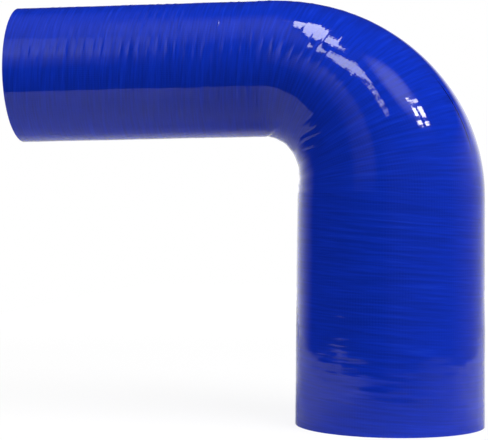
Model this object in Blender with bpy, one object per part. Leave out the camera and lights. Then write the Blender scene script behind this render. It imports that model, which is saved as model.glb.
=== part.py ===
"""Silicone elbow hose: a 90 degree reducing elbow, standing on its large end.

The real hose is one piece. Sheets of silicone-coated polyester are rolled on a bent, tapered
mandrel, bound with nylon tape under tension and cured. The mandrel leaves a smooth bore. The
tape leaves a shallow spiral step at every turn, close together on the inside of the bend and
far apart on its outside, and it pulls the surplus on the inside into a few soft pleats. Both
ends are then trimmed square with a knife. The small leg sags a little under its own weight.

Metres, +Z up. The origin is on the ground under the middle of the hose. The small leg points
along -X, and the hose is the same on both sides of the plane Y = 0, apart from the spiral.
"""

import math

import bmesh
import bpy
from mathutils import Matrix, Vector

# Bores and walls
LARGE_BORE = 0.0700
SMALL_BORE = 0.0500
LARGE_WALL = 0.0050
SMALL_WALL = 0.0045
LARGE_END_BUILD_UP = 0.0004  # the wall is this much thicker at the large end's cut
SMALL_END_BUILD_UP = 0.0003  # and this much at the small end's cut

# Centreline
BEND_ANGLE = math.radians(90.9)  # moulded at 90, and sagged by the small leg's weight
BEND_RADIUS = 0.0540
LARGE_LEG = 0.0990  # straight length between the large end and the bend
SMALL_LEG = 0.1090  # straight length between the bend and the small end
TAPER_OVERRUN = 0.0035  # how far the reducing cone runs into each leg

# Spiral steps left by the binding tape
TAPE_PITCH = 0.0044  # advance along the centreline for each turn
TAPE_STEP = 0.00025  # height of the step at the tape's edge
TAPE_STEP_RUN = 0.12  # share of the pitch that the step takes to fall
TURNS_BEFORE_CUT = 2  # turns of tape that the knife takes off below the large end
TURNS_AFTER_CUT = 1  # and beyond the small end

# Pleats on the inside of the bend
PLEATS = 6
PLEAT_DEPTH = 0.0005
PLEAT_REACH = math.radians(80)  # how far round from the innermost line a pleat runs out

# Facets
SKIN_COLUMNS = 38
BORE_RING_SPACING = 0.0120
MANDREL_OVERRUN_RINGS = 1  # rings by which the mandrel runs out past each cut end
SEWN_WITHIN = 1e-6  # corners nearer than this are one
SHARP_EDGE = math.radians(40)  # the cut rims stay crisp, and the tape steps shade smoothly

SILICONE_BLUE = (0.003, 0.028, 0.42, 1.0)
SILICONE_ROUGHNESS = 0.25

bend_length = BEND_ANGLE * BEND_RADIUS
hose_length = LARGE_LEG + bend_length + SMALL_LEG
bend_end = LARGE_LEG + bend_length

# The large leg's axis is set off so that the hose's box is centred on the origin: the small
# leg's cut face leans by the sag, so its top corner reaches furthest.
large_end_radius = LARGE_BORE / 2 + LARGE_WALL + LARGE_END_BUILD_UP + TAPE_STEP
small_end_radius = SMALL_BORE / 2 + SMALL_WALL + SMALL_END_BUILD_UP + TAPE_STEP
small_leg_reach = (
    BEND_RADIUS * (1 - math.cos(BEND_ANGLE))
    + SMALL_LEG * math.sin(BEND_ANGLE)
    + small_end_radius * abs(math.cos(BEND_ANGLE))
)
large_leg_x = (small_leg_reach - large_end_radius) / 2


def smooth_step(share):
    """0 to 1 with level ends, for a share that is clamped to 0 to 1."""
    share = min(max(share, 0.0), 1.0)
    return share * share * (3 - 2 * share)


def station(along):
    """The frame at a distance from the large end: Z runs along the hose, X to the inside of the bend."""
    angle = min(max((along - LARGE_LEG) / BEND_RADIUS, 0.0), BEND_ANGLE)
    straight_before = min(along, LARGE_LEG)
    straight_after = max(along - bend_end, 0.0)
    centre = Vector((-BEND_RADIUS * (1 - math.cos(angle)), 0, BEND_RADIUS * math.sin(angle)))
    run = Vector((-math.sin(angle), 0, math.cos(angle)))
    place = Vector((large_leg_x, 0, straight_before)) + centre + run * straight_after
    # The turn by pi makes local X point to the inside of the bend, which is world -X at the start.
    return Matrix.Translation(place) @ Matrix.Rotation(-angle, 4, "Y") @ Matrix.Rotation(math.pi, 4, "Z")


def narrowing(along):
    """0 on the large leg and 1 on the small leg, changing smoothly through the bend."""
    start = LARGE_LEG - TAPER_OVERRUN
    end = bend_end + TAPER_OVERRUN
    return smooth_step((along - start) / (end - start))


def bore_radius(along):
    """Half the bore, narrowing from the large leg's to the small leg's."""
    return (LARGE_BORE + (SMALL_BORE - LARGE_BORE) * narrowing(along)) / 2


def wall_at(along):
    """The wall before the tape marks: it thins through the bend, and thickens a little to each cut end."""
    wall = LARGE_WALL + (SMALL_WALL - LARGE_WALL) * narrowing(along)
    to_large_end = 1 - min(max(along / LARGE_LEG, 0.0), 1.0)
    to_small_end = min(max((along - bend_end) / SMALL_LEG, 0.0), 1.0)
    return wall + LARGE_END_BUILD_UP * to_large_end + SMALL_END_BUILD_UP * to_small_end


def pleat_at(along, turn):
    """How deep the surface lies in a pleat. Turn 0 is the innermost line of the bend."""
    from_inside = abs(math.remainder(turn, 2 * math.pi))
    if not LARGE_LEG < along < bend_end or from_inside > PLEAT_REACH:
        return 0.0
    share = (along - LARGE_LEG) / bend_length
    wave = (1 - math.cos(2 * math.pi * PLEATS * share)) / 2
    return PLEAT_DEPTH * wave * math.cos(math.pi / 2 * from_inside / PLEAT_REACH)


def skin_point(along, turn, raised):
    """A point of the outside, on the high or the low line of a step."""
    step = TAPE_STEP if raised else 0.0
    radius = bore_radius(along) + wall_at(along) + step - pleat_at(along, turn)
    return station(along) @ Vector((radius * math.cos(turn), radius * math.sin(turn), 0))


def bore_point(along, turn):
    """A point of the smooth bore."""
    radius = bore_radius(along)
    return station(along) @ Vector((radius * math.cos(turn), radius * math.sin(turn), 0))


def wrapped_grid(columns, rows, place):
    """A sheet with each corner put where place(column, row) says, sewn up along its side into a tube."""
    sheet = bmesh.new()
    bmesh.ops.create_grid(sheet, x_segments=columns, y_segments=rows, size=0.5)
    for corner in sheet.verts:
        column = round((corner.co.x + 0.5) * columns)
        row = round((corner.co.y + 0.5) * rows)
        corner.co = place(column, row)
    bmesh.ops.remove_doubles(sheet, verts=sheet.verts, dist=SEWN_WITHIN)
    return sheet


def wrapped_skin():
    """The outside, as one long spiral: two rows to a turn, the high line of a step and then the low one.

    It starts a turn before the large end and stops a turn after the small one, for the knife."""
    turns = TURNS_BEFORE_CUT + math.ceil(hose_length / TAPE_PITCH) + TURNS_AFTER_CUT

    def place(column, row):
        share = column / SKIN_COLUMNS
        lap, low = divmod(row, 2)
        along = (lap - TURNS_BEFORE_CUT + share + (TAPE_STEP_RUN if low else 0.0)) * TAPE_PITCH
        return skin_point(along, 2 * math.pi * share, raised=not low)

    return wrapped_grid(SKIN_COLUMNS, 2 * turns, place)


def trim_square(skin, along, outwards):
    """Cuts the skin off square at a distance along the hose, as the knife does."""
    frame = station(along)
    bmesh.ops.bisect_plane(
        skin,
        geom=skin.verts[:] + skin.edges[:] + skin.faces[:],
        dist=SEWN_WITHIN,
        plane_co=frame.translation,
        plane_no=frame.to_3x3() @ Vector((0, 0, outwards)),
        clear_outer=True,
    )


def finished(sheet, name):
    """The tube as a mesh, with both ends closed by a flat face and every face pointing out."""
    open_edges = [edge for edge in sheet.edges if edge.is_boundary]
    bmesh.ops.holes_fill(sheet, edges=open_edges, sides=0)
    bmesh.ops.recalc_face_normals(sheet, faces=sheet.faces)
    mesh = bpy.data.meshes.new(name)
    sheet.to_mesh(mesh)
    sheet.free()
    return mesh


def wrapped_body():
    """The hose as if it were solid: the taped skin, trimmed square at both ends."""
    skin = wrapped_skin()
    trim_square(skin, 0.0, -1)
    trim_square(skin, hose_length, 1)
    return finished(skin, "elbow_hose")


def mandrel():
    """The smooth mandrel that the hose is rolled on, which runs out past both cut ends."""
    rings = math.ceil(hose_length / BORE_RING_SPACING)
    step = hose_length / rings

    def place(column, row):
        along = step * (row - MANDREL_OVERRUN_RINGS)
        return bore_point(along, 2 * math.pi * column / SKIN_COLUMNS)

    return finished(wrapped_grid(SKIN_COLUMNS, rings + 2 * MANDREL_OVERRUN_RINGS, place), "mandrel")


def draw_off(hose, core):
    """Takes the mandrel's shape out of the hose and leaves the bore."""
    bore = hose.modifiers.new("bore", "BOOLEAN")
    bore.operation = "DIFFERENCE"
    bore.object = core
    bored = bpy.data.meshes.new_from_object(hose.evaluated_get(bpy.context.evaluated_depsgraph_get()))
    hose.modifiers.remove(bore)
    hose.data = bored
    bored.shade_smooth()
    bored.set_sharp_from_angle(angle=SHARP_EDGE)


def blue_silicone():
    """Glossy cured silicone rubber, deep blue right through."""
    material = bpy.data.materials.new("blue_silicone")
    material.use_nodes = True
    shader = material.node_tree.nodes["Principled BSDF"]
    shader.inputs["Base Color"].default_value = SILICONE_BLUE
    shader.inputs["Roughness"].default_value = SILICONE_ROUGHNESS
    shader.inputs["Metallic"].default_value = 0.0
    return material


def main():
    for old in list(bpy.data.objects):
        bpy.data.objects.remove(old)

    parts = bpy.data.collections.new("silicone_elbow_hose")
    cutters = bpy.data.collections.new("cutters")
    for collection in (parts, cutters):
        bpy.context.scene.collection.children.link(collection)

    core = bpy.data.objects.new("mandrel", mandrel())
    core.hide_render = True
    core.display_type = "WIRE"
    cutters.objects.link(core)

    hose = bpy.data.objects.new("elbow_hose", wrapped_body())
    hose.data.materials.append(blue_silicone())
    parts.objects.link(hose)
    draw_off(hose, core)


main()
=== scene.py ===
"""A blue silicone reducer elbow hose, standing on its wide end on a white table.

Metres, +Z up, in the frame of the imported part. Read from top to bottom: the view, the hose, the
table it stands on, and the studio's lamps.
"""

import math

import bmesh
import bpy
from mathutils import Matrix, Vector, noise


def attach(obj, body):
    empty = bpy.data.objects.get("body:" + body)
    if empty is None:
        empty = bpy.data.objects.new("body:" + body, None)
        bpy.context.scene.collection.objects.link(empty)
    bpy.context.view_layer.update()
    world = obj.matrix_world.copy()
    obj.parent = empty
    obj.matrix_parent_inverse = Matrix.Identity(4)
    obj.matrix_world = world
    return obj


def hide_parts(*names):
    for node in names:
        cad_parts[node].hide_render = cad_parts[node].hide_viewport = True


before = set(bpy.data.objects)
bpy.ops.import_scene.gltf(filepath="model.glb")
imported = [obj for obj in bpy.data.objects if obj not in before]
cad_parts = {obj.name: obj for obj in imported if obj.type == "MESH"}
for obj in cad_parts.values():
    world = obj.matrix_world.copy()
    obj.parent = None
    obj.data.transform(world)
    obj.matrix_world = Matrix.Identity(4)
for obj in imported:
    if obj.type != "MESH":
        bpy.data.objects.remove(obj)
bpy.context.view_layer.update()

# The view. The photographer stood a little to the right of the wide leg and turned to the left,
# with a longish lens held level with the top of that leg.

VIEW_PLACE = Vector((0.1014, -0.6406, 0.0898))
VIEW_YAW = -0.1598  # radians, to the left
VIEW_DROP = 0.0039  # radians, downwards
VIEW_ROLL = 0.0050  # radians, with the right side up
VIEW_LENS = 109.8  # millimetres
SENSOR_WIDTH = 36.0  # millimetres

ahead = Vector(
    (
        math.sin(VIEW_YAW) * math.cos(VIEW_DROP),
        math.cos(VIEW_YAW) * math.cos(VIEW_DROP),
        -math.sin(VIEW_DROP),
    )
)
level = Vector((math.cos(VIEW_YAW), -math.sin(VIEW_YAW), 0.0))
upright = level.cross(ahead)
across = math.cos(VIEW_ROLL) * level + math.sin(VIEW_ROLL) * upright
upwards = -math.sin(VIEW_ROLL) * level + math.cos(VIEW_ROLL) * upright
facing = Matrix((across, upwards, -ahead)).transposed().to_4x4()

camera = bpy.data.objects.new("view", bpy.data.cameras.new("view"))
camera.data.sensor_width = SENSOR_WIDTH
camera.data.lens = VIEW_LENS
camera.matrix_world = Matrix.Translation(VIEW_PLACE) @ facing
bpy.context.scene.collection.objects.link(camera)
bpy.context.scene.camera = camera


# The hose. Sheets of silicone-coated polyester are rolled on a bent, tapered mandrel, bound with
# narrow nylon tape under tension, cured, and cut square at both ends with a knife. The tape and
# the cloth under it leave all the marks of the outside, and the mandrel leaves the bore smooth.

LARGE_BORE = 0.0700
SMALL_BORE = 0.0500
LARGE_WALL = 0.0050
SMALL_WALL = 0.0045
LARGE_END_BUILD_UP = 0.0004  # how much the wall thickens by, up to the large end's cut
SMALL_END_BUILD_UP = 0.0003  # and up to the small end's
BEND_ANGLE = math.radians(90.9)  # moulded at 90, and sagged by the small leg's weight
BEND_RADIUS = 0.0540
LARGE_LEG = 0.0990  # straight length between the large end and the bend
SMALL_LEG = 0.1090  # straight length between the bend and the small end
TAPER_OVERRUN = 0.0035  # how far the reducing cone runs into each leg
LARGE_LEG_X = 0.061828  # the large leg's axis

bend_end = LARGE_LEG + BEND_ANGLE * BEND_RADIUS
hose_length = bend_end + SMALL_LEG


def clamp(share):
    """The share, kept within 0 to 1."""
    return min(max(share, 0.0), 1.0)


def fade(value, start, full):
    """0 up to the start and 1 from the full value on, with level ends. Either may be the lower."""
    share = clamp((value - start) / (full - start))
    return share * share * (3 - 2 * share)


def station(along):
    """The frame at a distance from the large end.

    Z runs along the hose, and X points to the inside of the bend."""
    angle = min(max((along - LARGE_LEG) / BEND_RADIUS, 0.0), BEND_ANGLE)
    centre = Vector((-BEND_RADIUS * (1 - math.cos(angle)), 0, BEND_RADIUS * math.sin(angle)))
    run = Vector((-math.sin(angle), 0, math.cos(angle)))
    foot = Vector((LARGE_LEG_X, 0, min(along, LARGE_LEG)))
    place = foot + centre + run * max(along - bend_end, 0.0)
    # The turn by pi makes local X point to the inside of the bend, which is world -X at the start.
    turned = Matrix.Rotation(-angle, 4, "Y") @ Matrix.Rotation(math.pi, 4, "Z")
    return Matrix.Translation(place) @ turned


def hose_point(along, turn, radius):
    """A point, by its distance along the hose, its turn round it and its radius."""
    return station(along) @ Vector((radius * math.cos(turn), radius * math.sin(turn), 0))


def narrowing(along):
    """0 on the large leg and 1 on the small leg."""
    return fade(along, LARGE_LEG - TAPER_OVERRUN, bend_end + TAPER_OVERRUN)


def bore_radius(along):
    """Half the bore, which narrows through the bend."""
    return (LARGE_BORE + (SMALL_BORE - LARGE_BORE) * narrowing(along)) / 2


def toward_small_end(along):
    """0 up to the end of the bend, and 1 at the small end's cut."""
    return clamp((along - bend_end) / SMALL_LEG)


def wall_radius(along):
    """The outside's radius before the tape leaves its marks."""
    wall = LARGE_WALL + (SMALL_WALL - LARGE_WALL) * narrowing(along)
    large_build_up = LARGE_END_BUILD_UP * (1 - clamp(along / LARGE_LEG))
    small_build_up = SMALL_END_BUILD_UP * toward_small_end(along)
    return bore_radius(along) + wall + large_build_up + small_build_up


# The tape winds on with a steep lead, and its ribs run beside each other round the hose. Most
# ribs are faint swellings. Where the tape was pulled hard, a rib has a sharp edge.
RIB_SPACING = 0.0040
RIBS_PER_LEAD = 5  # ribs that the tape advances by in one turn
RIB_SHAPE = (  # place in the spacing, and share of the rib's height there
    (0.0, 1.0),
    (0.07, 0.70),
    (0.15, 0.24),
    (0.26, 0.05),
    (0.42, 0.0),
    (0.62, 0.12),
    (0.80, 0.42),
    (0.92, 0.80),
)
RIB_HEIGHT = 0.00010
RIB_WAVES = 0.9  # waves of tension, and of wander, to a radian round the hose
LEAST_PULL = 0.16  # share of its height that the slackest rib has
MOST_PULL = 1.3
PULL_GAIN = 3.0  # how fast the height grows with the tension
SLACK = 0.08  # tension up to which it doesn't grow
TENSION_STEP = 5.3  # from rib to rib, far enough for each to have a tension of its own
RIB_WANDER = 0.0006  # how far a rib strays along the hose
WANDER_STEP = 0.7  # from rib to rib, near enough for neighbours to stray together
WANDER_START = 40.0
LARGE_LEG_TIGHTNESS = 0.20  # how strongly the ribs show on the large leg,
BEND_END_TIGHTNESS = 0.90  # where the bend meets the small leg,
SMALL_END_TIGHTNESS = 0.50  # and at the small end's cut

# The rolled sheets lie a little uneven, broadly and finely: height, waves to a radian round the
# hose, and waves to a metre along it.
BROAD_SWELLS = (0.00011, 1.6, 60)
FINE_SWELLS = (0.00004, 5.0, 260)

# The ribs crowd and flatten on the inside of the bend. On its outside the sheets are stretched,
# which smooths them. Each pair is where a change starts and where it is full: in shares of the
# bend from the large leg, or as cosines of the turn from the innermost line.
CROWDED_IN = (0.0, 0.25)
CROWDED_OUT = (1.0, 0.75)
STRETCHED_ROUND = (0.20833, -0.625)
STRETCHED_IN = (-0.20, 0.0)
STRETCHED_OUT = (0.72289, 0.60241)
RIBS_LOST = 0.95  # share of the ribs' height that the stretch takes
SWELLS_LOST = 0.85  # and of the fine swells'

# Creases pressed into the inside of the bend, where the cloth has nowhere to go: share of the
# bend from the large leg, depth, half width, middle of the crease in degrees round from the
# innermost line, and how many degrees it reaches either way.
CREASES = (
    (0.93, 0.00050, 0.0007, 8, 34),
    (0.86, 0.00014, 0.0009, 22, 22),
    (0.70, 0.00012, 0.0006, 50, 12),
    (0.62, 0.00022, 0.0005, 53, 12),
    (0.55, 0.00024, 0.0005, 50, 14),
    (0.48, 0.00022, 0.0005, 53, 12),
    (0.41, 0.00024, 0.0005, 48, 15),
    (0.33, 0.00018, 0.0006, 50, 14),
    (0.60, 0.00030, 0.0009, -30, 40),
    (0.35, 0.00025, 0.0010, -20, 45),
    (0.15, 0.00012, 0.0010, 15, 40),
)
CREASE_LEAN = 0.36  # advance along the hose for each metre round it, as the tape pulls them
PRESSED_RANGE = (-0.1, 1.1)  # shares of the bend between which creases and pleats are pressed in
PLEATS = 6
PLEAT_DEPTH = 0.00012
PLEAT_REACH = math.radians(70)

# The outer edge of the rolled sheet shows as one line along the outside of the bend.
SHEET_EDGE_TURN = math.radians(157)
SHEET_EDGE_DEPTH = 0.00024
SHEET_EDGE_HALF_WIDTH = 0.0006
SHEET_EDGE_IN = (0.0, 0.25)
SHEET_EDGE_OUT = (2 / 3, 0.5)


def waves(around, per_radian, place):
    """Smooth noise between -1 and 1: waves to a radian round the hose, one to a unit of place."""
    return noise.noise(around * per_radian + Vector((0, 0, place)))


def notch(distance, half_width):
    """1 on a line, and next to nothing at two half widths from it."""
    return math.exp(-((distance / half_width) ** 2))


def pressed_in(radius, in_bend, turn):
    """The radius, less the pleats, the creases and the notch along the sheet's edge."""
    from_inside = math.remainder(turn, 2 * math.pi)
    if 0 < in_bend < 1 and abs(from_inside) < PLEAT_REACH:
        wave = (1 - math.cos(2 * math.pi * PLEATS * in_bend)) / 2
        radius -= PLEAT_DEPTH * wave * math.cos(math.pi / 2 * from_inside / PLEAT_REACH)
    for share, depth, half_width, middle, reach in CREASES:
        round_from_middle = (math.degrees(from_inside) - middle) / reach
        if abs(round_from_middle) < 1:
            inner_radius = BEND_RADIUS - radius * math.cos(from_inside)
            lean = CREASE_LEAN * (from_inside - math.radians(middle)) * radius
            distance = (in_bend - share) * BEND_ANGLE * inner_radius + lean
            radius -= depth * notch(distance, half_width) * (1 - round_from_middle**2)
    if from_inside > 0:
        from_edge = (from_inside - SHEET_EDGE_TURN) * radius
        shown = fade(in_bend, *SHEET_EDGE_IN) * fade(in_bend, *SHEET_EDGE_OUT)
        radius -= SHEET_EDGE_DEPTH * notch(from_edge, SHEET_EDGE_HALF_WIDTH) * shown
    return radius


def skin_radius(along, turn, around, rib_place, swelling):
    """The outside's radius, with all the marks that the tape, the cloth and the bend leave."""
    radius = wall_radius(along)
    in_bend = (along - LARGE_LEG) / (bend_end - LARGE_LEG)
    inwards = math.cos(turn)

    bent = fade(in_bend, *CROWDED_IN) * fade(in_bend, *CROWDED_OUT)
    stretched = (
        fade(inwards, *STRETCHED_ROUND)
        * fade(in_bend, *STRETCHED_IN)
        * fade(in_bend, *STRETCHED_OUT)
    )
    room = (1 - radius * inwards / BEND_RADIUS * bent) * (1 - RIBS_LOST * stretched)

    tension = waves(around, RIB_WAVES, rib_place * TENSION_STEP)
    pull = min(LEAST_PULL + PULL_GAIN * max(tension - SLACK, 0.0), MOST_PULL)
    tightness = (
        LARGE_LEG_TIGHTNESS
        + (BEND_END_TIGHTNESS - LARGE_LEG_TIGHTNESS) * narrowing(along)
        + (SMALL_END_TIGHTNESS - BEND_END_TIGHTNESS) * toward_small_end(along)
    )
    radius += RIB_HEIGHT * pull * tightness * min(room, 1.0) * swelling

    height, per_radian, per_metre = BROAD_SWELLS
    radius += height * waves(around, per_radian, along * per_metre)
    height, per_radian, per_metre = FINE_SWELLS
    flattened = 1 - SWELLS_LOST * stretched
    radius += height * flattened * waves(around, per_radian, along * per_metre)

    if PRESSED_RANGE[0] < in_bend < PRESSED_RANGE[1]:
        radius = pressed_in(radius, in_bend, turn)
    return radius


SKIN_COLUMNS = 128
RIBS_BEFORE_CUT = 2  # ribs that the knife takes off below the large end
RIBS_AFTER_CUT = 2  # and at the least beyond the small end
SEWN_WITHIN = 1e-6  # corners nearer than this become one
KNIFE_WITHIN = 1e-7  # corners nearer than this to the knife's plane lie on it
RIM_WITHIN = 1e-5  # open edges nearer than this to a cut are its rims

rib_rows = len(RIB_SHAPE)
ribs = RIBS_BEFORE_CUT + math.ceil(hose_length / RIB_SPACING) + RIBS_PER_LEAD + RIBS_AFTER_CUT


def skin_place(column, row):
    """One corner of the skin: its share of the turn, its distance along the hose, and its point."""
    share = column / SKIN_COLUMNS
    turn = 2 * math.pi * share
    around = Vector((math.cos(turn), math.sin(turn), 0.0))
    rib, shape_row = divmod(row, rib_rows)
    phase, swelling = RIB_SHAPE[shape_row]
    rib_place = rib - RIBS_PER_LEAD * share
    stray = waves(around, RIB_WAVES, (rib_place + phase) * WANDER_STEP + WANDER_START)
    along = (rib_place - RIBS_BEFORE_CUT + phase) * RIB_SPACING + RIB_WANDER * stray
    radius = skin_radius(along, turn, around, rib_place, swelling)
    return share, along, hose_point(along, turn, radius)


def wrapped(columns, rows, place):
    """A sheet sewn up into a tube, with a UV map of its own.

    The map holds the share of the turn, and the metres along the hose."""
    sheet = bmesh.new()
    bmesh.ops.create_grid(sheet, x_segments=columns, y_segments=rows, size=0.5)
    uv_layer = sheet.loops.layers.uv.new("around_and_along")
    spots = {}
    for corner in sheet.verts:
        column = round((corner.co.x + 0.5) * columns)
        row = round((corner.co.y + 0.5) * rows)
        spots[corner] = place(column, row)
    for face in sheet.faces:
        for loop in face.loops:
            loop[uv_layer].uv = spots[loop.vert][:2]
    for corner, (_, _, point) in spots.items():
        corner.co = point
    bmesh.ops.remove_doubles(sheet, verts=sheet.verts, dist=SEWN_WITHIN)
    return sheet


skin = wrapped(SKIN_COLUMNS, ribs * rib_rows, skin_place)
for cut_at, outwards in ((0.0, -1), (hose_length, 1)):
    knife = station(cut_at)
    bmesh.ops.bisect_plane(
        skin,
        geom=skin.verts[:] + skin.edges[:] + skin.faces[:],
        dist=KNIFE_WITHIN,
        plane_co=knife.translation,
        plane_no=knife.to_3x3() @ Vector((0, 0, outwards)),
        clear_outer=True,
    )

BORE_COLUMNS = 72
BORE_ROWS = 60
BARE_SILICONE_SLOT = 1  # of the hose's two materials, the one of the bore and the cut faces


def bore_place(column, row):
    """One corner of the smooth bore, as skin_place gives one of the skin."""
    share = column / BORE_COLUMNS
    along = hose_length * row / BORE_ROWS
    return share, along, hose_point(along, 2 * math.pi * share, bore_radius(along))


bore = wrapped(BORE_COLUMNS, BORE_ROWS, bore_place)
for face in bore.faces:
    face.material_index = BARE_SILICONE_SLOT
bore_mesh = bpy.data.meshes.new("bore")
bore.to_mesh(bore_mesh)
bore.free()
skin.from_mesh(bore_mesh)
bpy.data.meshes.remove(bore_mesh)

for cut_at in (0.0, hose_length):
    knife = station(cut_at)
    from_knife = knife.inverted()
    rims = [
        edge
        for edge in skin.edges
        if edge.is_boundary
        and all(abs((from_knife @ end.co).z) < RIM_WITHIN for end in edge.verts)
    ]
    run = knife.to_3x3() @ Vector((0, 0, 1))
    cut_face = bmesh.ops.triangle_fill(skin, edges=rims, use_beauty=True, normal=run)
    for made in cut_face["geom"]:
        if isinstance(made, bmesh.types.BMFace):
            made.material_index = BARE_SILICONE_SLOT
bmesh.ops.recalc_face_normals(skin, faces=skin.faces)

SHARP_EDGE = math.radians(50)  # the cut rims stay crisp, and the ribs shade smoothly

hose_mesh = bpy.data.meshes.new("moulded_hose")
skin.to_mesh(hose_mesh)
skin.free()
hose_mesh.shade_smooth()
hose_mesh.set_sharp_from_angle(angle=SHARP_EDGE)
hose = bpy.data.objects.new("moulded_hose", hose_mesh)
bpy.context.scene.collection.objects.link(hose)


def linear(hex_colour):
    """An sRGB hex colour as linear RGBA."""
    values = [int(hex_colour[i : i + 2], 16) / 255 for i in (1, 3, 5)]
    return (*(v / 12.92 if v <= 0.04045 else ((v + 0.055) / 1.055) ** 2.4 for v in values), 1.0)


def add(tree, kind, settings, inputs):
    """Adds one node. An input is a plain value, or another node's output socket to link from."""
    new = tree.nodes.new("ShaderNode" + kind)
    for name, value in settings.items():
        setattr(new, name, value)
    for name, value in inputs.items():
        if isinstance(value, bpy.types.NodeSocket):
            tree.links.new(value, new.inputs[name])
        else:
            new.inputs[name].default_value = value
    return new


SILICONE_BLUE = linear("#0D33CB")
SILICONE_BLUE_DEEP = linear("#0B2BAF")
SILICONE_BLUE_PALE = linear("#1A41D6")
SILICONE_BLUE_SHADED = linear("#05156A")  # in the notch along the sheet's edge
SILICONE_IOR = 1.41

# Tape-wrapped silicone rubber. The tape's slick film gives the skin a wet gloss. Through it show
# the cloth's threads and fine lines that run round with the tape. The lines' colour is darker where
# their bump is low, and their highest crests are paler, a painted highlight.
wrapped_silicone = bpy.data.materials.new("silicone_rubber_tape_wrapped")
wrapped_silicone.use_nodes = True
tree = wrapped_silicone.node_tree
gloss = tree.nodes["Principled BSDF"]
gloss.inputs["IOR"].default_value = SILICONE_IOR

uv = add(tree, "UVMap", {"uv_map": "around_and_along"}, {})
spot = add(tree, "SeparateXYZ", {}, {"Vector": uv.outputs["UV"]})
turn_share = spot.outputs["X"]
along_hose = spot.outputs["Y"]
turn = add(tree, "Math", {"operation": "MULTIPLY"}, {0: turn_share, 1: 2 * math.pi}).outputs[0]
round_x = add(tree, "Math", {"operation": "COSINE"}, {0: turn}).outputs[0]
round_y = add(tree, "Math", {"operation": "SINE"}, {0: turn}).outputs[0]

# 210 warp threads around, so 1.2 mm apart on the wide leg, and weft threads 1.3 mm apart. Such
# cloth is usually about twice as fine, which would not show at this size. The threads come
# through in patches of about 18 mm.
WARP_THREADS = 210
WEFT_SPACING = 0.0013
PATCHES_PER_METRE = 55.0
THREAD_HEIGHT = 0.0000014
THREAD_TONE = 0.36  # how much paler a thread is at the most

warp_phase = add(
    tree, "Math", {"operation": "MULTIPLY"}, {0: turn_share, 1: 2 * math.pi * WARP_THREADS}
).outputs[0]
warp = add(tree, "Math", {"operation": "SINE"}, {0: warp_phase}).outputs[0]
weft_phase = add(
    tree, "Math", {"operation": "MULTIPLY"}, {0: along_hose, 1: 2 * math.pi / WEFT_SPACING}
).outputs[0]
weft = add(tree, "Math", {"operation": "SINE"}, {0: weft_phase}).outputs[0]
threads = add(tree, "Math", {"operation": "ADD"}, {0: warp, 1: weft}).outputs[0]

object_place = add(tree, "TexCoord", {}, {}).outputs["Object"]
patches = add(
    tree,
    "TexNoise",
    {},
    {"Vector": object_place, "Scale": PATCHES_PER_METRE, "Detail": 2.0},
).outputs["Fac"]
patch_share = add(
    tree, "MapRange", {}, {"Value": patches, "From Min": 0.34, "From Max": 0.60}
).outputs["Result"]
threads_shown = add(
    tree, "Math", {"operation": "MULTIPLY"}, {0: threads, 1: patch_share}
).outputs[0]

# Lines round the hose, 0.5 to 2 mm apart: the noise is stretched round the hose, and leans with
# the tape on the side where its lead shows.
LINES_PER_METRE = 900.0
LINE_WAVES = 1.4  # to a radian round the hose
TAPE_LEAN = 0.0032
LINE_HEIGHT = 0.0000065
LINE_HIGHLIGHT_TONE = 0.6  # painted highlight on the crests: how much paler the sharpest lines are at the most

lean = add(tree, "Math", {"operation": "MULTIPLY"}, {0: round_x, 1: -TAPE_LEAN}).outputs[0]
along_tape = add(tree, "Math", {"operation": "ADD"}, {0: along_hose, 1: lean}).outputs[0]
line_parts = {
    axis: add(tree, "Math", {"operation": "MULTIPLY"}, {0: part, 1: scale}).outputs[0]
    for axis, part, scale in (
        ("X", round_x, LINE_WAVES),
        ("Y", round_y, LINE_WAVES),
        ("Z", along_tape, LINES_PER_METRE),
    )
}
line_place = add(tree, "CombineXYZ", {}, line_parts).outputs["Vector"]
lines = add(
    tree,
    "TexNoise",
    {},
    {"Vector": line_place, "Scale": 1.0, "Detail": 4.0, "Roughness": 0.6},
).outputs["Fac"]

thread_bump = add(
    tree, "Bump", {}, {"Height": threads_shown, "Distance": THREAD_HEIGHT, "Strength": 1.0}
).outputs["Normal"]
line_bump = add(
    tree,
    "Bump",
    {},
    {"Height": lines, "Distance": LINE_HEIGHT, "Strength": 1.0, "Normal": thread_bump},
).outputs["Normal"]
tree.links.new(line_bump, gloss.inputs["Normal"])

WRAPPED_ROUGHNESS = (0.03, 0.065)  # where the film lay tight, and where it lay slack
roughness = add(
    tree,
    "MapRange",
    {},
    {
        "Value": patches,
        "From Min": 0.3,
        "From Max": 0.7,
        "To Min": WRAPPED_ROUGHNESS[0],
        "To Max": WRAPPED_ROUGHNESS[1],
    },
).outputs["Result"]
tree.links.new(roughness, gloss.inputs["Roughness"])

# Darker where the lines' bump is low, and the plain blue where it is high.
line_tone = add(
    tree, "MapRange", {}, {"Value": lines, "From Min": 0.38, "From Max": 0.60}
).outputs["Result"]
shade = add(
    tree,
    "Mix",
    {"data_type": "RGBA"},
    {0: line_tone, 6: SILICONE_BLUE_DEEP, 7: SILICONE_BLUE},
).outputs[2]
thread_tone = add(
    tree,
    "MapRange",
    {},
    {"Value": threads_shown, "From Min": -2.0, "From Max": 2.0, "To Max": THREAD_TONE},
).outputs["Result"]
shade_threads = add(
    tree, "Mix", {"data_type": "RGBA"}, {0: thread_tone, 6: shade, 7: SILICONE_BLUE_PALE}
).outputs[2]
# A painted highlight: the highest crests of the lines are paler, as if they caught the light.
painted_line_highlight = add(
    tree,
    "MapRange",
    {"interpolation_type": "SMOOTHSTEP"},
    {"Value": lines, "From Min": 0.60, "From Max": 0.70, "To Max": LINE_HIGHLIGHT_TONE},
).outputs["Result"]
shade_with_line_highlights = add(
    tree, "Mix", {"data_type": "RGBA"}, {0: painted_line_highlight, 6: shade_threads, 7: SILICONE_BLUE_PALE}
).outputs[2]

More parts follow.
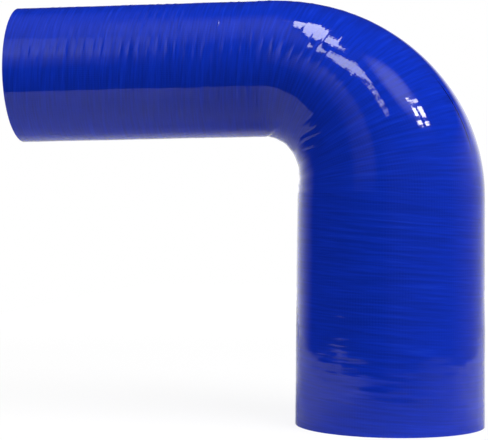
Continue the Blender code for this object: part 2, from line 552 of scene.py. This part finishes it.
# The notch along the sheet's edge lies in its own shade.
NOTCH_TURN_SHARE = 0.0022  # half its width, as a share of the turn
NOTCH_IN = (0.010, 0.014)  # metres beyond the large leg where the shade starts and is full
NOTCH_OUT = (0.033, 0.028)  # and where it ends and is still full

in_notch = add(
    tree,
    "Math",
    {"operation": "COMPARE"},
    {0: turn_share, 1: SHEET_EDGE_TURN / (2 * math.pi), 2: NOTCH_TURN_SHARE},
).outputs[0]
for nothing, full in (NOTCH_IN, NOTCH_OUT):
    share_along = add(
        tree,
        "MapRange",
        {},
        {"Value": along_hose, "From Min": LARGE_LEG + nothing, "From Max": LARGE_LEG + full},
    ).outputs["Result"]
    in_notch = add(
        tree, "Math", {"operation": "MULTIPLY"}, {0: in_notch, 1: share_along}
    ).outputs[0]
shade_notch = add(
    tree, "Mix", {"data_type": "RGBA"}, {0: in_notch, 6: shade_with_line_highlights, 7: SILICONE_BLUE_SHADED}
).outputs[2]
tree.links.new(shade_notch, gloss.inputs["Base Color"])

# Bare silicone rubber, duller than the skin: the bore, smooth from the mandrel, and the faces
# that the knife cut, with a grain of about 1 mm.
GRAINS_PER_METRE = 900.0
GRAIN_HEIGHT = 0.00002
BARE_ROUGHNESS = (0.32, 0.48)

bare_silicone = bpy.data.materials.new("silicone_rubber_bore_and_cut")
bare_silicone.use_nodes = True
tree = bare_silicone.node_tree
satin = tree.nodes["Principled BSDF"]
satin.inputs["IOR"].default_value = SILICONE_IOR
grain_place = add(tree, "TexCoord", {}, {}).outputs["Object"]
grain = add(
    tree, "TexNoise", {}, {"Vector": grain_place, "Scale": GRAINS_PER_METRE, "Detail": 3.0}
).outputs["Fac"]
grain_bump = add(
    tree, "Bump", {}, {"Height": grain, "Distance": GRAIN_HEIGHT, "Strength": 1.0}
).outputs["Normal"]
tree.links.new(grain_bump, satin.inputs["Normal"])
bare_roughness = add(
    tree,
    "MapRange",
    {},
    {
        "Value": grain,
        "From Min": 0.3,
        "From Max": 0.7,
        "To Min": BARE_ROUGHNESS[0],
        "To Max": BARE_ROUGHNESS[1],
    },
).outputs["Result"]
tree.links.new(bare_roughness, satin.inputs["Roughness"])
bare_shade = add(
    tree, "Mix", {"data_type": "RGBA"}, {0: grain, 6: SILICONE_BLUE_DEEP, 7: SILICONE_BLUE}
).outputs[2]
tree.links.new(bare_shade, satin.inputs["Base Color"])

hose_mesh.materials.append(wrapped_silicone)
hose_mesh.materials.append(bare_silicone)
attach(hose, "root")
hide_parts("elbow_hose")


# The table: a sheet of matt white paper, which ends 20 cm in front of the hose. The camera sees
# it nearly pure white, with the hose's faint shadow. The hose's gloss mirrors it.

TABLE_LOW_CORNER = (-0.32, -0.245)
TABLE_HIGH_CORNER = (0.38, 1.2)
TABLE_DROP = 0.00002  # a hair below the hose's cut face, so that the two don't share a plane

sheet = bmesh.new()
bmesh.ops.create_grid(sheet, x_segments=1, y_segments=1, size=0.5)
low_x, low_y = TABLE_LOW_CORNER
high_x, high_y = TABLE_HIGH_CORNER
middle = ((high_x + low_x) / 2, (high_y + low_y) / 2, -TABLE_DROP)
bmesh.ops.scale(sheet, vec=(high_x - low_x, high_y - low_y, 1.0), verts=sheet.verts)
bmesh.ops.translate(sheet, vec=middle, verts=sheet.verts)
table_mesh = bpy.data.meshes.new("table")
sheet.to_mesh(table_mesh)
sheet.free()
table = bpy.data.objects.new("table", table_mesh)
bpy.context.scene.collection.objects.link(table)


def stops(tree, value, levels):
    """The level for a value, with straight runs between the levels.

    They are pairs of value and level, from the lowest value to the highest."""
    lowest = levels[0][0]
    highest = levels[-1][0]
    share = add(
        tree, "MapRange", {}, {"Value": value, "From Min": lowest, "From Max": highest}
    ).outputs["Result"]
    ramp = add(tree, "ValToRGB", {}, {"Fac": share})
    elements = ramp.color_ramp.elements
    for _ in levels[2:]:
        elements.new(0.5)
    for element, (at, level) in zip(elements, levels):
        element.position = (at - lowest) / (highest - lowest)
        element.color = (level, level, level, 1.0)
    return ramp.outputs["Color"]


# Matt white paper. In front of the wide leg, the hose sees painted shade on it, darker towards
# its edge by its depth in the scene, so that the edge in the gloss is soft. The camera sees it
# plain.
PAPER_WHITE = 0.92
# Painted shade that only the hose sees: depth in metres, and the paper's white there.
SHADED_WHITE_BEFORE_LEG = ((-0.245, 0.16), (-0.20, 0.26), (-0.15, 0.38), (-0.06, 0.50), (0.02, 0.92))
BEFORE_LEG_X = (-0.08, 0.02)  # where, from left to right, this starts and is full
SHOWN_WHITE = 1.04  # the white that the camera sees in place of the paper's light
SHOWN_SHARE = 0.85  # share of that white near the hose, where its shadow has to show
SHOWN_FADE = (0.35, 0.9)  # distances from the hose over which the share goes up to 1

table_white = bpy.data.materials.new("matt_white_paper")
table_white.use_nodes = True
tree = table_white.node_tree
tree.nodes.remove(tree.nodes["Principled BSDF"])
seen = add(tree, "LightPath", {}, {}).outputs["Is Camera Ray"]
table_place = add(tree, "TexCoord", {}, {}).outputs["Object"]
table_parts = add(tree, "SeparateXYZ", {}, {"Vector": table_place})
painted_shade_by_depth = stops(tree, table_parts.outputs["Y"], SHADED_WHITE_BEFORE_LEG)
before_leg = add(
    tree,
    "MapRange",
    {},
    {
        "Value": table_parts.outputs["X"],
        "From Min": BEFORE_LEG_X[0],
        "From Max": BEFORE_LEG_X[1],
    },
).outputs["Result"]
shaded_white_for_hose = add(
    tree, "Mix", {"data_type": "FLOAT"}, {0: before_leg, 2: PAPER_WHITE, 3: painted_shade_by_depth}
).outputs[0]
white = add(
    tree, "Mix", {"data_type": "FLOAT"}, {0: seen, 2: shaded_white_for_hose, 3: PAPER_WHITE}
).outputs[0]
paper = add(tree, "BsdfDiffuse", {}, {"Color": white}).outputs[0]
shown = add(
    tree, "Emission", {}, {"Color": (1.0, 1.0, 1.0, 1.0), "Strength": SHOWN_WHITE}
).outputs[0]
from_hose = add(tree, "VectorMath", {"operation": "LENGTH"}, {0: table_place}).outputs["Value"]
shown_share = add(
    tree,
    "MapRange",
    {},
    {
        "Value": from_hose,
        "From Min": SHOWN_FADE[0],
        "From Max": SHOWN_FADE[1],
        "To Min": SHOWN_SHARE,
        "To Max": 1.0,
    },
).outputs["Result"]
shown_to_camera = add(
    tree, "Math", {"operation": "MULTIPLY"}, {0: seen, 1: shown_share}
).outputs[0]
surface = add(tree, "MixShader", {}, {0: shown_to_camera, 1: paper, 2: shown}).outputs[0]
tree.links.new(surface, tree.nodes["Material Output"].inputs["Surface"])
table_mesh.materials.append(table_white)


# The studio. The camera sees white. The hose's gloss sees a dark room with softboxes in it, a
# window on the right, and a white surround behind the table.

ROOM_GREY = 0.03
ROOM_IN_GLOSS = 0.02

world = bpy.data.worlds.new("studio")
bpy.context.scene.world = world
world.use_nodes = True
tree = world.node_tree
direction = add(tree, "TexCoord", {}, {}).outputs["Generated"]
parts = add(tree, "SeparateXYZ", {}, {"Vector": direction})
to_right, to_back, up = parts.outputs["X"], parts.outputs["Y"], parts.outputs["Z"]
to_front = add(tree, "Math", {"operation": "MULTIPLY"}, {0: to_back, 1: -1.0}).outputs[0]
tilt = add(tree, "Math", {"operation": "ARCTAN2"}, {0: up, 1: to_front}).outputs[0]
tilt_degrees = add(tree, "Math", {"operation": "DEGREES"}, {0: tilt}).outputs[0]

# The white surround behind the table, brighter on the left. It fades out between 14 and 25
# degrees above the table.
SURROUND_LEFT = ((0.28, 0.0), (0.45, 0.28), (0.62, 0.65), (0.85, 1.15))
SURROUND_RIGHT = ((-0.2, 0.05), (0.1, 0.15), (0.42, 0.28), (0.60, 0.43), (0.80, 0.60), (0.92, 0.90))
SURROUND_UP = ((0.0, 1.0), (0.12, 1.3), (0.24, 1.4), (0.42, 0.0))

on_right = add(
    tree, "MapRange", {}, {"Value": to_right, "From Min": -0.1, "From Max": 0.1}
).outputs["Result"]
surround = add(
    tree,
    "Mix",
    {"data_type": "RGBA"},
    {0: on_right, 6: stops(tree, to_back, SURROUND_LEFT), 7: stops(tree, to_back, SURROUND_RIGHT)},
).outputs[2]

# A big soft lamp on the front left, and a long one over the small leg: brightness by degrees up
# from the front, and by how far to the right.
FRONT_LAMP_TILT = (
    (4, 0.0),
    (18, 0.38),
    (32, 1.25),
    (46, 1.05),
    (57, 0.80),
    (59, 0.38),
    (97, 0.26),
    (125, 0.0),
)
FRONT_LAMP_SIDE = ((-0.70, 0.0), (-0.60, 1.0), (-0.30, 1.0), (-0.25, 0.62), (-0.19, 0.0))
LEG_LAMP_TILT = ((34, 0.0), (46, 0.20), (58, 0.45), (70, 0.6), (80, 0.5), (90, 0.2), (100, 0.0))
LEG_LAMP_SIDE = ((-0.30, 0.0), (-0.22, 1.0), (-0.10, 1.0), (-0.05, 0.0))

# The glow round the window.
GLOW_TOWARDS = Vector((0.50, -0.43, 0.755)).normalized()
GLOW_REACH = (0.958, 0.9995)  # cosines of the angle to its middle where it starts and is full
GLOW_BRIGHTNESS = 2.2

nearness = add(
    tree, "VectorMath", {"operation": "DOT_PRODUCT"}, {0: direction, 1: GLOW_TOWARDS}
).outputs["Value"]
seen_in_gloss = add(
    tree,
    "MapRange",
    {"interpolation_type": "SMOOTHSTEP"},
    {
        "Value": nearness,
        "From Min": GLOW_REACH[0],
        "From Max": GLOW_REACH[1],
        "To Max": GLOW_BRIGHTNESS,
    },
).outputs["Result"]
for brightness, limits in (
    (surround, stops(tree, up, SURROUND_UP)),
    (stops(tree, tilt_degrees, FRONT_LAMP_TILT), stops(tree, to_right, FRONT_LAMP_SIDE)),
    (stops(tree, tilt_degrees, LEG_LAMP_TILT), stops(tree, to_right, LEG_LAMP_SIDE)),
):
    patch = add(
        tree, "VectorMath", {"operation": "MULTIPLY"}, {0: brightness, 1: limits}
    ).outputs["Vector"]
    seen_in_gloss = add(
        tree, "VectorMath", {"operation": "ADD"}, {0: seen_in_gloss, 1: patch}
    ).outputs["Vector"]
seen_in_gloss = add(
    tree,
    "VectorMath",
    {"operation": "ADD"},
    {0: seen_in_gloss, 1: (ROOM_IN_GLOSS, ROOM_IN_GLOSS, ROOM_IN_GLOSS)},
).outputs["Vector"]

ray = add(tree, "LightPath", {}, {})
seen_by_hose = add(
    tree,
    "Mix",
    {"data_type": "RGBA"},
    {
        0: ray.outputs["Is Glossy Ray"],
        6: (ROOM_GREY, ROOM_GREY, ROOM_GREY, 1.0),
        7: seen_in_gloss,
    },
).outputs[2]
seen_by_all = add(
    tree,
    "Mix",
    {"data_type": "RGBA"},
    {0: ray.outputs["Is Camera Ray"], 6: seen_by_hose, 7: (1.0, 1.0, 1.0, 1.0)},
).outputs[2]
tree.links.new(seen_by_all, tree.nodes["Background"].inputs["Color"])

LIT_POINT = Vector((0.035, -0.030, 0.150))  # on the front of the bend
LAMP_DISTANCE = 1.2


def softbox(name, towards, width, height, radiance, mirrored=True, roll=0.0):
    """A flat lamp, in a direction from the hose: x to the right, y away from the camera, z up.

    It is either a bright patch mirrored in the gloss, or the soft light that falls on the
    surface."""
    towards = Vector(towards).normalized()
    lamp = bpy.data.lights.new(name, "AREA")
    lamp.shape = "RECTANGLE"
    lamp.size = width
    lamp.size_y = height
    # A flat lamp shines with its energy over four times its area.
    lamp.energy = 4 * width * height * radiance
    turned = (-towards).to_track_quat("-Z", "Y").to_matrix().to_4x4()
    rolled = Matrix.Rotation(math.radians(roll), 4, "Z")
    placed = bpy.data.objects.new(name, lamp)
    placed.matrix_world = Matrix.Translation(LIT_POINT + towards * LAMP_DISTANCE) @ turned @ rolled
    placed.visible_camera = False
    placed.visible_glossy = mirrored
    placed.visible_diffuse = not mirrored
    bpy.context.scene.collection.objects.link(placed)


# The key light in the gloss: a long softbox over the hose, a wide one in front, and below it four
# narrow strips, each with its direction and its radiance.
KEY_STRIPS = (
    ((0.158, -0.763, 0.627), 9.0),
    ((0.183, -0.787, 0.590), 11.0),
    ((0.205, -0.811, 0.548), 10.0),
    ((0.232, -0.838, 0.494), 5.0),
)
softbox("key_over_hose", (0.030, -0.29, 0.955), 0.21, 0.58, 10.3)
softbox("key_in_front", (0.060, -0.70, 0.715), 0.32, 0.19, 7.5, roll=12)
for number, (towards, radiance) in enumerate(KEY_STRIPS):
    softbox("key_edge_" + str(number), towards, 0.13, 0.022, radiance, roll=32)

# The window's panes, in two columns of three.
PANE_WIDTH = 0.115
PANE_COLUMNS = (("left", 57.2, 1.0), ("right", 67.2, 0.85))  # degrees to the right, share of light
PANE_ROWS = (  # degrees up, height and radiance
    ("top", 41.1, 0.024, 22.0),
    ("middle", 35.9, 0.088, 30.0),
    ("low", 30.7, 0.034, 30.0),
)
for column, degrees_right, share_of_light in PANE_COLUMNS:
    for row, degrees_up, height, radiance in PANE_ROWS:
        azimuth = math.radians(degrees_right)
        elevation = math.radians(degrees_up)
        outwards = math.cos(elevation)
        pane = (math.sin(azimuth) * outwards, -math.cos(azimuth) * outwards, math.sin(elevation))
        name = "window_" + row + "_" + column
        softbox(name, pane, PANE_WIDTH, height, radiance * share_of_light)

# The soft light on the surface.
softbox("window_light", (0.70, -0.46, 0.60), 0.9, 0.9, 3.45, mirrored=False)
softbox("left_light", (-0.88, -0.22, 0.35), 0.7, 0.7, 1.7, mirrored=False)
softbox("top_light", (0.05, -0.36, 0.93), 1.2, 1.0, 1.7, mirrored=False)
softbox("back_light", (0.0, 0.98, 0.14), 2.0, 0.50, 2.0, mirrored=False)

bpy.context.scene.view_settings.view_transform = "Standard"
